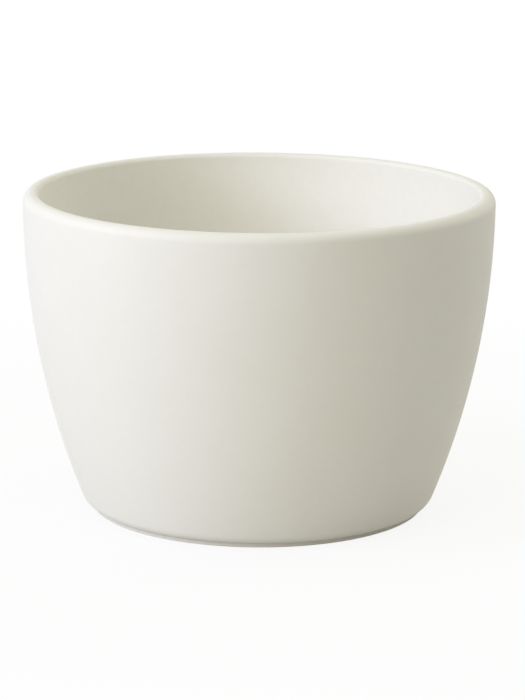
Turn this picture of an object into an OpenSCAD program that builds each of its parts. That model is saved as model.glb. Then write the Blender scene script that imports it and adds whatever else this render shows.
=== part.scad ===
// Latte bowl: a handleless cup of fired clay, dipped in glaze and wiped bare at its foot ring.
// The origin is at the middle of the foot, on the table, with +Z up.

/* [Bowl] */
// Outside diameter at the mouth, glaze included
mouth_d = 110; // [95:1:130]
// Height from the table to the top of the lip
bowl_h = 75; // [65:1:90]
// Radius of the side's curve in section, upright just under the lip
side_r = 190; // [160:5:260]
// Thickness of the side, glaze included
wall_t = 3.6; // [3:0.1:5]
// Radius of the heel, where the side turns under to the foot
heel_r = 4.5; // [3:0.5:8]

/* [Lip] */
// Rounding on the outside of the lip
lip_out_r = 2.2; // [1.2:0.1:3.5]
// Rounding on the inside of the clay's lip, which the glaze makes larger by its own thickness
lip_in_r = 0.7; // [0.1:0.05:1]

/* [Inside] */
// Thickness of the floor at its middle, glaze included
floor_t = 5; // [4:0.5:8]
// Radius of the corner between the side and the floor
corner_r = 16; // [10:1:24]
// Radius of the floor's shallow dish
dish_r = 160; // [100:10:300]

/* [Foot] */
// Height of the heel's lowest point over the table
foot_h = 0.5; // [0.3:0.1:2]
// How far the foot ring reaches out past the middle of the heel's curve
foot_reach = 1.6; // [0:0.1:2.4]
// Width of the bare ring that stands on the table
foot_w = 3.6; // [2.5:0.1:5]
// Depth of the hollow under the base, inside the foot ring
hollow_h = 1.6; // [1:0.1:3]
// Rounding on the foot ring's two edges
foot_edge_r = 0.3; // [0.2:0.1:0.5]
// Fillet where the foot ring meets the hollow
hollow_r = 1; // [0.5:0.1:1.2]

/* [Glaze] */
// Thickness of the glaze
glaze_t = 0.3; // [0.2:0.05:0.5]
// Clearance between the glaze and the clay under it
glaze_gap = 0.05; // [0.03:0.01:0.1]
// Bare clay left on the heel, measured along it from the foot ring
bare_heel = 0.3; // [0.2:0.1:2]
// Bare clay left around the hollow's glaze
bare_hollow = 0.4; // [0.2:0.1:1]

/* [Hidden] */
clay_colour = "Linen";
glaze_colour = "Ivory";
// Farthest that a straight stretch of a round outline may lie from the true arc
arc_sag = 0.02;
$fn = 180;

// How deep the clay lies under the glazed surface
clay_depth = glaze_t + glaze_gap;
// The lip's glazed roundings: the outer one leaves room for the inner one in the wall
inner_lip_r = lip_in_r + clay_depth;
outer_lip_r = min(lip_out_r, wall_t - inner_lip_r);
inner_side_r = side_r - wall_t;
floor_z = hollow_h + floor_t;

// Centres of the arcs: side, lip outside and inside, heel, floor, and the corner that touches side and floor
side_c = [mouth_d / 2 - side_r, bowl_h - outer_lip_r];
lip_out_c = [mouth_d / 2 - outer_lip_r, bowl_h - outer_lip_r];
lip_in_c = level_with(side_c, inner_side_r + inner_lip_r, bowl_h - inner_lip_r);
heel_c = level_with(side_c, side_r - heel_r, foot_h + heel_r);
dish_c = [0, floor_z + dish_r];
corner_c = crossing(side_c, inner_side_r - corner_r, dish_c, dish_r - corner_r);

// Foot ring, its fillet to the hollow, its corner with the clay's heel, and the glaze's lower edges
foot_out_r = heel_c.x + foot_reach;
foot_in_r = foot_out_r - foot_w;
hollow_fillet_r = min(hollow_r, hollow_h - 2 * foot_edge_r);
clay_heel_r = heel_r - clay_depth;
foot_a = -acos(foot_reach / clay_heel_r);
glaze_a = foot_a + bare_heel / clay_heel_r * 180 / PI;
base_glaze_r = foot_in_r - hollow_fillet_r - bare_hollow;

// Direction from one point to another
function bearing(from, to) = atan2(to.y - from.y, to.x - from.x);

// Point at height z on the outer half of a circle
function level_with(c, r, z) = [c.x + sqrt(pow(r, 2) - pow(z - c.y, 2)), z];

// Where two circles cross, on the right of the line from the first centre to the second
function crossing(c1, r1, c2, r2) =
    let (
        apart = norm(c2 - c1),
        ahead = (c2 - c1) / apart,
        right = [ahead.y, -ahead.x],
        along = (pow(r1, 2) - pow(r2, 2) + pow(apart, 2)) / (2 * apart)
    )
    c1 + along * ahead + sqrt(pow(r1, 2) - pow(along, 2)) * right;

// Point of a circle in a direction from its centre
function rim(c, r, a) = c + r * [cos(a), sin(a)];

// Points of an arc between two directions, close enough together to keep within arc_sag.
// The last point is left to the piece of outline that follows.
function arc(c, r, from, to) =
    let (
        widest = 2 * acos(1 - arc_sag / r),
        steps = max(2, ceil(abs(to - from) / widest))
    )
    [for (i = [0:steps - 1]) rim(c, r, from + (to - from) * i / steps)];

function reversed(points) = [for (i = [len(points) - 1:-1:0]) points[i]];

// Outside of the bowl from the glaze's lower edge up to the top of the lip, at a depth under its surface
function outside(depth) = concat(
    arc(heel_c, heel_r - depth, glaze_a, bearing(side_c, heel_c)),
    arc(side_c, side_r - depth, bearing(side_c, heel_c), 0),
    arc(lip_out_c, outer_lip_r - depth, 0, 90),
    [rim(lip_out_c, outer_lip_r - depth, 90)]
);

// Inside of the bowl from the top of the lip down to the middle of the floor, at a depth under its surface
function inside(depth) = concat(
    arc(lip_in_c, inner_lip_r - depth, 90, 180 + bearing(side_c, lip_in_c)),
    arc(side_c, inner_side_r + depth, bearing(side_c, lip_in_c), bearing(side_c, corner_c)),
    arc(corner_c, corner_r + depth, bearing(side_c, corner_c), bearing(dish_c, corner_c)),
    arc(dish_c, dish_r + depth, bearing(dish_c, corner_c), -90),
    [[0, floor_z - depth]]
);

// Underside from the middle of the hollow, over the foot ring and out to the glaze's lower edge
function underside() = concat(
    [[0, hollow_h]],
    arc([foot_in_r - hollow_fillet_r, hollow_h - hollow_fillet_r], hollow_fillet_r, 90, 0),
    [[foot_in_r, hollow_h - hollow_fillet_r]],
    arc([foot_in_r + foot_edge_r, foot_edge_r], foot_edge_r, 180, 270),
    [[foot_in_r + foot_edge_r, 0]],
    arc([foot_out_r - foot_edge_r, foot_edge_r], foot_edge_r, -90, 0),
    [[foot_out_r, foot_edge_r]],
    arc(heel_c, clay_heel_r, foot_a, glaze_a)
);

// Fired clay: side, floor and foot ring in one piece, bare only at the foot
module clay_body() {
    color(clay_colour)
        rotate_extrude()
            polygon(concat(underside(), outside(clay_depth), inside(clay_depth)));
}

// Glaze in one skin: up the outside from the heel, over the lip and across the floor
module glaze_coat() {
    color(glaze_colour)
        rotate_extrude()
            polygon(concat(
                outside(0),
                inside(0),
                reversed(inside(glaze_t)),
                reversed(outside(glaze_t))
            ));
}

// Disc of glaze in the hollow under the base, cut off from the coat by the bare foot ring
module base_glaze() {
    color(glaze_colour)
        translate([0, 0, hollow_h - glaze_t])
            cylinder(r = base_glaze_r, h = glaze_t);
}

clay_body();
glaze_coat();
base_glaze();
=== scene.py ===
import math
import bpy
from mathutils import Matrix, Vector, noise


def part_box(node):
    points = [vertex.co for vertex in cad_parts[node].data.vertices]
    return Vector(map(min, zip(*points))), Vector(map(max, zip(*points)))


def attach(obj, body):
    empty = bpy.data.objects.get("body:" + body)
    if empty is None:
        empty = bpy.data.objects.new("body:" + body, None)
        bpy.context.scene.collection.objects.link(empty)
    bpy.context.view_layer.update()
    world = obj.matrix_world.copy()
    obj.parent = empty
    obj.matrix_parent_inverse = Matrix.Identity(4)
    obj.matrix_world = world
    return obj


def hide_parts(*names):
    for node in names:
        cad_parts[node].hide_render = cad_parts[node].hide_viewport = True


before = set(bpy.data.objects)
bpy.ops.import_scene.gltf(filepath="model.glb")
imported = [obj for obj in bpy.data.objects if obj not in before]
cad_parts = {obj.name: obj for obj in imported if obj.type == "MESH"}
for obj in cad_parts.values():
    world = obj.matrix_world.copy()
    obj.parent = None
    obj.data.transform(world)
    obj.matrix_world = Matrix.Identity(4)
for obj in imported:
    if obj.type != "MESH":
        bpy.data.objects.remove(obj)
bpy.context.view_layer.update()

MM = 0.001

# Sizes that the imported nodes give
coat_low, coat_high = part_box("glaze_coat")
disc_low, disc_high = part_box("base_glaze")
MOUTH_R = min(-coat_low.x, -coat_low.y, coat_high.x, coat_high.y)
BOWL_H = coat_high.z
HOLLOW_H = disc_high.z
GLAZE_T = disc_high.z - disc_low.z
BASE_GLAZE_R = min(-disc_low.x, -disc_low.y, disc_high.x, disc_high.y)

# Sizes of the section, as in the CAD model
SIDE_R = 190 * MM
WALL_T = 3.6 * MM
HEEL_R = 4.5 * MM
LIP_OUT_R = 2.2 * MM
LIP_IN_R = 1.05 * MM
FLOOR_T = 5 * MM
CORNER_R = 16 * MM
DISH_R = 160 * MM
FOOT_H = 0.5 * MM
FOOT_REACH = 1.6 * MM
FOOT_W = 3.6 * MM
FOOT_EDGE_R = 0.3 * MM
HOLLOW_R = 1 * MM
GLAZE_GAP = 0.05 * MM
BARE_HEEL = 0.3 * MM

# Signs of handwork: how far the lip dips, the side leans and the glaze's edges wander
LIP_WANDER = 0.06 * MM
SIDE_WANDER = 0.04 * MM
GLAZE_EDGE_WANDER = 0.18 * MM

# A seed for each thing that wanders, and how fast it swings round the bowl
LIP_SEED = 3.1
SIDE_SEED = 7.7
COAT_SEED = 1.3
DISC_SEED = 5.9
BODY_PACE = 1.6
COAT_PACE = 4
DISC_PACE = 5

# Wiped lower edge of the glaze: its thickness, and how far up the heel the glaze thins
GLAZE_EDGE_T = 0.12 * MM
GLAZE_EDGE_REACH = 1.6 * MM

# Turning grooves on the foot, with the shares of the pitch where one starts, is deepest and ends
TURNING_DEPTH = 0.02 * MM
TURNING_PITCH = 0.55 * MM
TURNING_SHARES = (0.35, 0.5, 0.65)

# Fineness of the meshes
ARC_SAG = 0.002 * MM
LEAST_STEPS = 3
HEEL_STEPS = 24
ROLL_STEPS = 6
TURNS = 256
DISC_SHARES = (0, 0.5, 0.9)

DOWN = -math.pi / 2
UP = math.pi / 2
INWARD = math.pi


# Section of the bowl


def point(r, z):
    return Vector((r, z))


def bearing(start, end):
    return math.atan2(end.y - start.y, end.x - start.x)


def level_with(centre, radius, z):
    """Point at height z on the outer half of a circle."""
    return point(centre.x + math.sqrt(radius ** 2 - (z - centre.y) ** 2), z)


def crossing(c1, r1, c2, r2):
    """Where two circles cross, on the right of the line from the first centre to the second."""
    apart = (c2 - c1).length
    ahead = (c2 - c1) / apart
    right = point(ahead.y, -ahead.x)
    along = (r1 ** 2 - r2 ** 2 + apart ** 2) / (2 * apart)
    return c1 + along * ahead + math.sqrt(r1 ** 2 - along ** 2) * right


def rim(centre, radius, angle):
    return centre + radius * point(math.cos(angle), math.sin(angle))


def arc(centre, radius, start, end, steps=None):
    """Points of an arc without its last one, which the next stretch of outline gives."""
    if steps is None:
        widest = 2 * math.acos(1 - ARC_SAG / radius)
        steps = max(LEAST_STEPS, math.ceil(abs(end - start) / widest))
    return [rim(centre, radius, start + (end - start) * i / steps) for i in range(steps)]


# Centres of the section's arcs, and the lines where foot, heel and glaze meet
INNER_SIDE_R = SIDE_R - WALL_T
FLOOR_Z = HOLLOW_H + FLOOR_T
SIDE_C = point(MOUTH_R - SIDE_R, BOWL_H - LIP_OUT_R)
LIP_OUT_C = point(MOUTH_R - LIP_OUT_R, BOWL_H - LIP_OUT_R)
LIP_IN_C = level_with(SIDE_C, INNER_SIDE_R + LIP_IN_R, BOWL_H - LIP_IN_R)
HEEL_C = level_with(SIDE_C, SIDE_R - HEEL_R, FOOT_H + HEEL_R)
DISH_C = point(0, FLOOR_Z + DISH_R)
CORNER_C = crossing(SIDE_C, INNER_SIDE_R - CORNER_R, DISH_C, DISH_R - CORNER_R)
FOOT_OUT_R = HEEL_C.x + FOOT_REACH
FOOT_IN_R = FOOT_OUT_R - FOOT_W
CLAY_DEPTH = GLAZE_T + GLAZE_GAP
CLAY_HEEL_R = HEEL_R - CLAY_DEPTH
FOOT_A = -math.acos(FOOT_REACH / CLAY_HEEL_R)
GLAZE_A = FOOT_A + BARE_HEEL / CLAY_HEEL_R


def outside(depth, start):
    """Outside from a direction on the heel up to the top of the lip, at a depth under its glaze."""
    heel_end = bearing(SIDE_C, HEEL_C)
    return (
        arc(HEEL_C, HEEL_R - depth, start, heel_end, HEEL_STEPS)
        + arc(SIDE_C, SIDE_R - depth, heel_end, 0)
        + arc(LIP_OUT_C, LIP_OUT_R - depth, 0, UP)
        + [rim(LIP_OUT_C, LIP_OUT_R - depth, UP)]
    )


def inside(depth):
    """Inside from the top of the lip down to the middle of the floor, at a depth under its glaze."""
    lip_end = bearing(SIDE_C, LIP_IN_C)
    side_end = bearing(SIDE_C, CORNER_C)
    corner_end = bearing(DISH_C, CORNER_C)
    return (
        arc(LIP_IN_C, LIP_IN_R - depth, UP, INWARD + lip_end)
        + arc(SIDE_C, INNER_SIDE_R + depth, lip_end, side_end)
        + arc(CORNER_C, CORNER_R + depth, side_end, corner_end)
        + arc(DISH_C, DISH_R + depth, corner_end, DOWN)
        + [point(0, FLOOR_Z - depth)]
    )


# Turning of sections into pieces


def wander(turn, seed, pace):
    """Slow random swing between -1 and 1 that closes on itself round the bowl."""
    place = Vector((pace * math.cos(turn), pace * math.sin(turn), seed))
    return max(-1, min(1, 2 * noise.noise(place)))


def wander_one_way(turn, seed, pace):
    """The same swing, between 0 and 1."""
    return 0.5 + 0.5 * wander(turn, seed, pace)


def handmade(turn, p):
    """Lets the lip dip and the side lean in a little, more towards the top, never outside the CAD box."""
    height_share = max(0, p.y / BOWL_H)
    width_share = min(1, p.x / MOUTH_R)
    drop = LIP_WANDER * wander_one_way(turn, LIP_SEED, BODY_PACE) * height_share ** 3
    lean = SIDE_WANDER * wander_one_way(turn, SIDE_SEED, BODY_PACE) * height_share ** 2
    return point(p.x - lean * width_share, p.y - drop)


def turned(name, section_at):
    """Closed mesh round the axis, from a section for each turn that starts and ends on the axis."""
    turns = [2 * math.pi * j / TURNS for j in range(TURNS)]
    sections = [[handmade(turn, p) for p in section_at(turn)] for turn in turns]
    rings = len(sections[0]) - 2
    verts = []
    for turn, section in zip(turns, sections):
        for p in section[1:-1]:
            verts.append((p.x * math.cos(turn), p.x * math.sin(turn), p.y))
    first = len(verts)
    last = first + 1
    verts.append((0, 0, sum(s[0].y for s in sections) / TURNS))
    verts.append((0, 0, sum(s[-1].y for s in sections) / TURNS))
    faces = []
    for j in range(TURNS):
        here = j * rings
        there = (j + 1) % TURNS * rings
        faces.append((first, there, here))
        faces.append((last, here + rings - 1, there + rings - 1))
        for i in range(rings - 1):
            faces.append((here + i, there + i, there + i + 1, here + i + 1))
    mesh = bpy.data.meshes.new(name)
    mesh.from_pydata(verts, [], faces)
    mesh.validate()
    mesh.shade_smooth()
    return mesh


def placed(name, data):
    """New object in the scene for a mesh, lamp or camera."""
    obj = bpy.data.objects.new(name, data)
    bpy.context.scene.collection.objects.link(obj)
    return obj


def make_piece(name, section_at, material, node):
    """Turns a section into a piece with its finish, in the place of its node."""
    mesh = turned(name, section_at)
    mesh.materials.append(material)
    obj = placed(name, mesh)
    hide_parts(node)
    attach(obj, "root")


# Materials

# The part of a noise's range that most of its values lie in
NOISE_MIDDLE = (0.3, 0.7)

# Glaze: its tones, the sizes of its clouds, grain, satin, swell and orange peel, and its surface
IVORY = (0.87, 0.855, 0.80)
IVORY_THICK = (0.885, 0.872, 0.825)
IVORY_THIN = (0.84, 0.82, 0.755)
# Painted light: a lighter tone inside the bowl stands in for the brighter light there, and fades in over
# this width
IVORY_PAINTED_LIGHT = (0.90, 0.888, 0.835)
PAINTED_LIGHT_EDGE = 20 * MM
CLOUD_SIZE = 22 * MM
GRAIN_SIZE = 1.6 * MM
GRAIN_SHARE = 0.25
SATIN_SIZE = 9 * MM
SWELL_SIZE = 7 * MM
SWELL_DEPTH = 0.05 * MM
PEEL_SIZE = 0.9 * MM
PEEL_DEPTH = 0.01 * MM
GLAZE_BUMP = 0.5
GLAZE_ROUGHNESS = (0.56, 0.64)
GLAZE_IOR = 1.5

# Clay: its tones, the sizes of its patches, specks, dryness and pits, and its surface
CLAY = (0.80, 0.782, 0.735)
CLAY_DARK = (0.70, 0.665, 0.605)
PATCH_SIZE = 8 * MM
PATCH_SHARE = 0.45
SPECK_SIZE = 0.5 * MM
SPECK_SHARE = 0.5
DRY_SIZE = 2 * MM
PIT_SIZE = 0.6 * MM
PIT_DEPTH = 0.08 * MM
CLAY_BUMP = 0.6
CLAY_ROUGHNESS = (0.78, 0.92)


class Nodes:
    """A node tree, with short calls to add and join nodes."""

    def __init__(self, tree):
        self.tree = tree

    def add(self, kind, **values):
        made = self.tree.nodes.new(kind)
        for key, value in values.items():
            setattr(made, key, value)
        return made

    def join(self, source, target):
        self.tree.links.new(source, target)

    def give_colour(self, colour, target):
        """Gives an input a colour, which is a socket or RGB."""
        if isinstance(colour, tuple):
            target.default_value = (*colour, 1)
        else:
            self.join(colour, target)

    def blend(self, fac, first, second):
        """Colour between two."""
        made = self.add("ShaderNodeMix", data_type="RGBA")
        self.join(fac, made.inputs["Factor"])
        self.give_colour(first, made.inputs[6])
        self.give_colour(second, made.inputs[7])
        return made.outputs[2]

    def remap(self, value, start, end):
        """Maps a number from one range on to another, and keeps it there."""
        made = self.add("ShaderNodeMapRange")
        keys = ("From Min", "From Max", "To Min", "To Max")
        for key, limit in zip(keys, (*start, *end)):
            made.inputs[key].default_value = limit
        self.join(value, made.inputs["Value"])
        return made.outputs["Result"]

    def combine(self, operation, first, second):
        """Number that an operation makes of two."""
        made = self.add("ShaderNodeMath", operation=operation)
        self.join(first, made.inputs[0])
        self.join(second, made.inputs[1])
        return made.outputs[0]

    def measure(self, operation, *vectors):
        """Number that an operation makes of one or two vectors."""
        made = self.add("ShaderNodeVectorMath", operation=operation)
        for i, vector in enumerate(vectors):
            self.join(vector, made.inputs[i])
        return made.outputs["Value"]

    def shading(self, kind, colour):
        """Shader of a kind, in a colour."""
        made = self.add(kind)
        self.give_colour(colour, made.inputs["Color"])
        return made.outputs[0]

    def mixed(self, fac, first, second):
        """Shader between two."""
        made = self.add("ShaderNodeMixShader")
        self.join(fac, made.inputs["Fac"])
        self.join(first, made.inputs[1])
        self.join(second, made.inputs[2])
        return made.outputs[0]

    def seen_directly(self):
        """1 for rays from the camera, and for the mirror and glass rays that show the background."""
        path = self.add("ShaderNodeLightPath").outputs
        mirrored = self.combine("MAXIMUM", path["Is Camera Ray"], path["Is Glossy Ray"])
        return self.combine("MAXIMUM", mirrored, path["Is Transmission Ray"])


class Finish(Nodes):
    """A material's node tree, with its shader and the places and normals of its surface."""

    def __init__(self, name):
        self.material = bpy.data.materials.new(name)
        self.material.use_nodes = True
        super().__init__(self.material.node_tree)
        self.shader = self.tree.nodes["Principled BSDF"]
        coordinates = self.add("ShaderNodeTexCoord")
        self.place = coordinates.outputs["Object"]
        self.normal = coordinates.outputs["Normal"]

    def noise(self, size, detail=4, roughness=0.5):
        """Noise whose blotches are about a size across, in metres."""
        made = self.add("ShaderNodeTexNoise")
        made.inputs["Scale"].default_value = 1 / size
        made.inputs["Detail"].default_value = detail
        made.inputs["Roughness"].default_value = roughness
        self.join(self.place, made.inputs["Vector"])
        return made.outputs["Fac"]

    def spread(self, fac, low, high):
        """Maps the middle of a noise's range on to low to high."""
        return self.remap(fac, NOISE_MIDDLE, (low, high))

    def facing_axis(self, edge):
        """1 where the surface faces the bowl's axis and 0 where it faces away, soft over an edge's width."""
        outwards = self.measure("DOT_PRODUCT", self.place, self.normal)
        return self.remap(outwards, (edge, -edge), (0, 1))

    def bump(self, height, distance, strength, under=None):
        made = self.add("ShaderNodeBump")
        made.inputs["Strength"].default_value = strength
        made.inputs["Distance"].default_value = distance
        self.join(height, made.inputs["Height"])
        if under:
            self.join(under, made.inputs["Normal"])
        return made.outputs["Normal"]


def ivory_glaze():
    """Satin ivory glaze: painted light makes it lighter inside the bowl, in soft clouds elsewhere, with a
    fine orange peel.
    """
    n = Finish("ivory_glaze")
    clouds = n.spread(n.noise(CLOUD_SIZE, detail=3), 0, 1)
    grain = n.spread(n.noise(GRAIN_SIZE, detail=2), 0, GRAIN_SHARE)
    cloudy = n.blend(clouds, IVORY, IVORY_THICK)
    # Painted light: where the surface faces the axis, inside the bowl, the tone is made lighter for the
    # brighter light there
    tone = n.blend(n.facing_axis(PAINTED_LIGHT_EDGE), cloudy, IVORY_PAINTED_LIGHT)
    n.join(n.blend(grain, tone, IVORY_THIN), n.shader.inputs["Base Color"])
    n.join(n.spread(n.noise(SATIN_SIZE), *GLAZE_ROUGHNESS), n.shader.inputs["Roughness"])
    swell = n.bump(n.noise(SWELL_SIZE, detail=1), SWELL_DEPTH, GLAZE_BUMP)
    peel = n.bump(n.noise(PEEL_SIZE, detail=2), PEEL_DEPTH, GLAZE_BUMP, under=swell)
    n.join(peel, n.shader.inputs["Normal"])
    n.shader.inputs["IOR"].default_value = GLAZE_IOR
    return n.material


def bare_clay():
    """Dry fired clay: warm, gritty and a little uneven in tone."""
    n = Finish("bare_clay")
    patches = n.spread(n.noise(PATCH_SIZE), 0, PATCH_SHARE)
    specks = n.spread(n.noise(SPECK_SIZE, detail=3, roughness=0.65), 0, SPECK_SHARE)
    tone = n.blend(patches, CLAY, IVORY_THIN)
    n.join(n.blend(specks, tone, CLAY_DARK), n.shader.inputs["Base Color"])
    n.join(n.spread(n.noise(DRY_SIZE), *CLAY_ROUGHNESS), n.shader.inputs["Roughness"])
    pits = n.bump(n.noise(PIT_SIZE, detail=5, roughness=0.6), PIT_DEPTH, CLAY_BUMP)
    n.join(pits, n.shader.inputs["Normal"])
    return n.material


# Pieces


def ring_lines(start, end):
    """The flat of the foot, with fine grooves left by turning."""
    lines = round((end - start) / TURNING_PITCH)
    pitch = (end - start) / lines
    points = [point(start, 0)]
    for i in range(lines):
        for share, depth in zip(TURNING_SHARES, (0, TURNING_DEPTH, 0)):
            points.append(point(start + (i + share) * pitch, depth))
    return points


def clay_section(turn):
    """Fired clay, with fine turning lines on its bare foot, the same at each turn."""
    hollow_c = point(FOOT_IN_R - HOLLOW_R, HOLLOW_H - HOLLOW_R)
    inner_c = point(FOOT_IN_R + FOOT_EDGE_R, FOOT_EDGE_R)
    outer_c = point(FOOT_OUT_R - FOOT_EDGE_R, FOOT_EDGE_R)
    under = (
        [point(hollow_c.x * share, HOLLOW_H) for share in DISC_SHARES]
        + arc(hollow_c, HOLLOW_R, UP, 0)
        + [point(FOOT_IN_R, hollow_c.y)]
        + arc(inner_c, FOOT_EDGE_R, INWARD, INWARD + UP)
        + ring_lines(inner_c.x, outer_c.x)
        + arc(outer_c, FOOT_EDGE_R, DOWN, 0)
        + [point(FOOT_OUT_R, FOOT_EDGE_R)]
        + arc(HEEL_C, CLAY_HEEL_R, FOOT_A, GLAZE_A)
    )
    return under + outside(CLAY_DEPTH, GLAZE_A) + inside(CLAY_DEPTH)


def thinned(p, line):
    """Lets the glaze thin out over the heel towards its wiped edge."""
    along = (bearing(HEEL_C, p) - line) * HEEL_R
    edge_share = max(0, 1 - along / GLAZE_EDGE_REACH)
    return p + (HEEL_C - p).normalized() * (GLAZE_T - GLAZE_EDGE_T) * edge_share ** 2


def coat_section(turn):
    """Glaze from under the floor, down the clay's side, round its lower edge and back over the bowl."""
    line = GLAZE_A + GLAZE_EDGE_WANDER / HEEL_R * wander(turn, COAT_SEED, COAT_PACE)
    edge_c = rim(HEEL_C, HEEL_R - GLAZE_T + GLAZE_EDGE_T / 2, line)
    behind = list(reversed(outside(GLAZE_T, line) + inside(GLAZE_T)))
    roll = arc(edge_c, GLAZE_EDGE_T / 2, line - INWARD, line, ROLL_STEPS)[1:]
    outer = outside(0, line)
    heel = [thinned(p, line) for p in outer[:HEEL_STEPS]]
    return behind + roll + heel + outer[HEEL_STEPS:] + inside(0)


def disc_section(turn):
    """Glaze in the hollow, with an edge that rounds up to the clay."""
    edge_r = BASE_GLAZE_R - GLAZE_EDGE_WANDER * wander_one_way(turn, DISC_SEED, DISC_PACE)
    edge_c = point(edge_r - GLAZE_T, HOLLOW_H)
    face = [point(edge_c.x * share, HOLLOW_H - GLAZE_T) for share in DISC_SHARES]
    back = [point(edge_c.x * share, HOLLOW_H) for share in reversed(DISC_SHARES)]
    return face + arc(edge_c, GLAZE_T, DOWN, 0) + [rim(edge_c, GLAZE_T, 0)] + back


# Floor, world, lamps and camera

# Floor and world: what the camera sees of them, what they give the bowl, and where the shadow fades out
WHITE = (1, 1, 1)
FLOOR_SEEN = (0.92, 0.92, 0.92)
FLOOR_BOUNCE = (0.68, 0.67, 0.63)
FLOOR_SIZE = 6000 * MM
SHADOW_REACH = (60 * MM, 240 * MM)
SHADOW_GLOW = (0.88, 1)
AMBIENT = (0.41, 0.41, 0.365)

# Soft lamps: a cool key at the left, and warm ones in front, behind at the right, and above
LAMPS = {
    "key": {
        "place": (-1040 * MM, -395 * MM, 500 * MM),
        "size": 500 * MM,
        "power": 4.75,
        "colour": (1, 1.07, 1.44),
    },
    "fill": {
        "place": (-760 * MM, -980 * MM, 500 * MM),
        "size": 700 * MM,
        "power": 4.3,
        "colour": (1, 0.95, 0.83),
    },
    "side": {
        "place": (850 * MM, 640 * MM, 520 * MM),
        "size": 600 * MM,
        "power": 2.1,
        "colour": (1, 0.97, 0.88),
    },
    "top": {
        "place": (0, 100 * MM, 1200 * MM),
        "size": 800 * MM,
        "power": 2.8,
        "colour": (1, 0.98, 0.8),
    },
}

# The camera stands where the photograph's outline puts it: pixels are of its 525 by 700 frame
PHOTO_H_PX = 700
FOCAL_PX = 3061
SENSOR = 36
CAMERA_AT = (0, -702.8 * MM, 201.65 * MM)
CAMERA_AIM = (0.96 * MM, 0, 36.72 * MM)
CAMERA_ROLL = 0.0062
CLIP_START = 10 * MM


def pale_floor():
    """Matt floor that the camera sees as near white, with the bowl's shadow kept close to the foot."""
    material = bpy.data.materials.new("pale_floor")
    material.use_nodes = True
    n = Nodes(material.node_tree)
    n.tree.nodes.clear()
    seen = n.seen_directly()
    matt = n.shading("ShaderNodeBsdfDiffuse", n.blend(seen, FLOOR_BOUNCE, FLOOR_SEEN))
    glow = n.shading("ShaderNodeEmission", WHITE)
    reach = n.measure("LENGTH", n.add("ShaderNodeTexCoord").outputs["Object"])
    fade = n.remap(reach, SHADOW_REACH, SHADOW_GLOW)
    surface = n.mixed(n.combine("MULTIPLY", seen, fade), matt, glow)
    n.join(surface, n.add("ShaderNodeOutputMaterial").inputs["Surface"])
    return material


def make_floor():
    half = FLOOR_SIZE / 2
    corners = [(-half, -half, 0), (half, -half, 0), (half, half, 0), (-half, half, 0)]
    mesh = bpy.data.meshes.new("floor")
    mesh.from_pydata(corners, [], [(0, 1, 2, 3)])
    mesh.materials.append(pale_floor())
    floor = placed("floor", mesh)


def make_world():
    """Even light on the bowl, and plain white where the camera sees past the floor."""
    world = bpy.data.worlds.new("studio")
    world.use_nodes = True
    n = Nodes(world.node_tree)
    n.tree.nodes.clear()
    soft = n.shading("ShaderNodeBackground", AMBIENT)
    white = n.shading("ShaderNodeBackground", WHITE)
    surface = n.mixed(n.seen_directly(), soft, white)
    n.join(surface, n.add("ShaderNodeOutputWorld").inputs["Surface"])
    bpy.context.scene.world = world


def aimed(location, target):
    return (Vector(target) - Vector(location)).to_track_quat("-Z", "Y").to_euler()


def softbox(name, place, size, power, colour):
    """Square lamp that shines on the middle of the bowl."""
    lamp = bpy.data.lights.new(name, "AREA")
    lamp.shape = "SQUARE"
    lamp.size = size
    lamp.energy = power
    lamp.color = colour
    obj = placed(name, lamp)
    obj.location = place
    obj.rotation_euler = aimed(place, (0, 0, BOWL_H / 2))


def make_camera():
    data = bpy.data.cameras.new("camera")
    data.sensor_width = SENSOR
    data.lens = FOCAL_PX / PHOTO_H_PX * SENSOR
    data.clip_start = CLIP_START
    camera = placed("camera", data)
    camera.location = CAMERA_AT
    camera.rotation_euler = aimed(CAMERA_AT, CAMERA_AIM)
    camera.rotation_euler.rotate_axis("Z", CAMERA_ROLL)
    bpy.context.scene.camera = camera


glaze = ivory_glaze()
clay = bare_clay()
make_piece("fired_clay", clay_section, clay, "clay_body")
make_piece("glaze_skin", coat_section, glaze, "glaze_coat")
make_piece("hollow_glaze", disc_section, glaze, "base_glaze")

make_floor()
make_world()
for lamp_name, lamp_values in LAMPS.items():
    softbox(lamp_name, **lamp_values)
make_camera()
bpy.context.scene.view_settings.view_transform = "Standard"
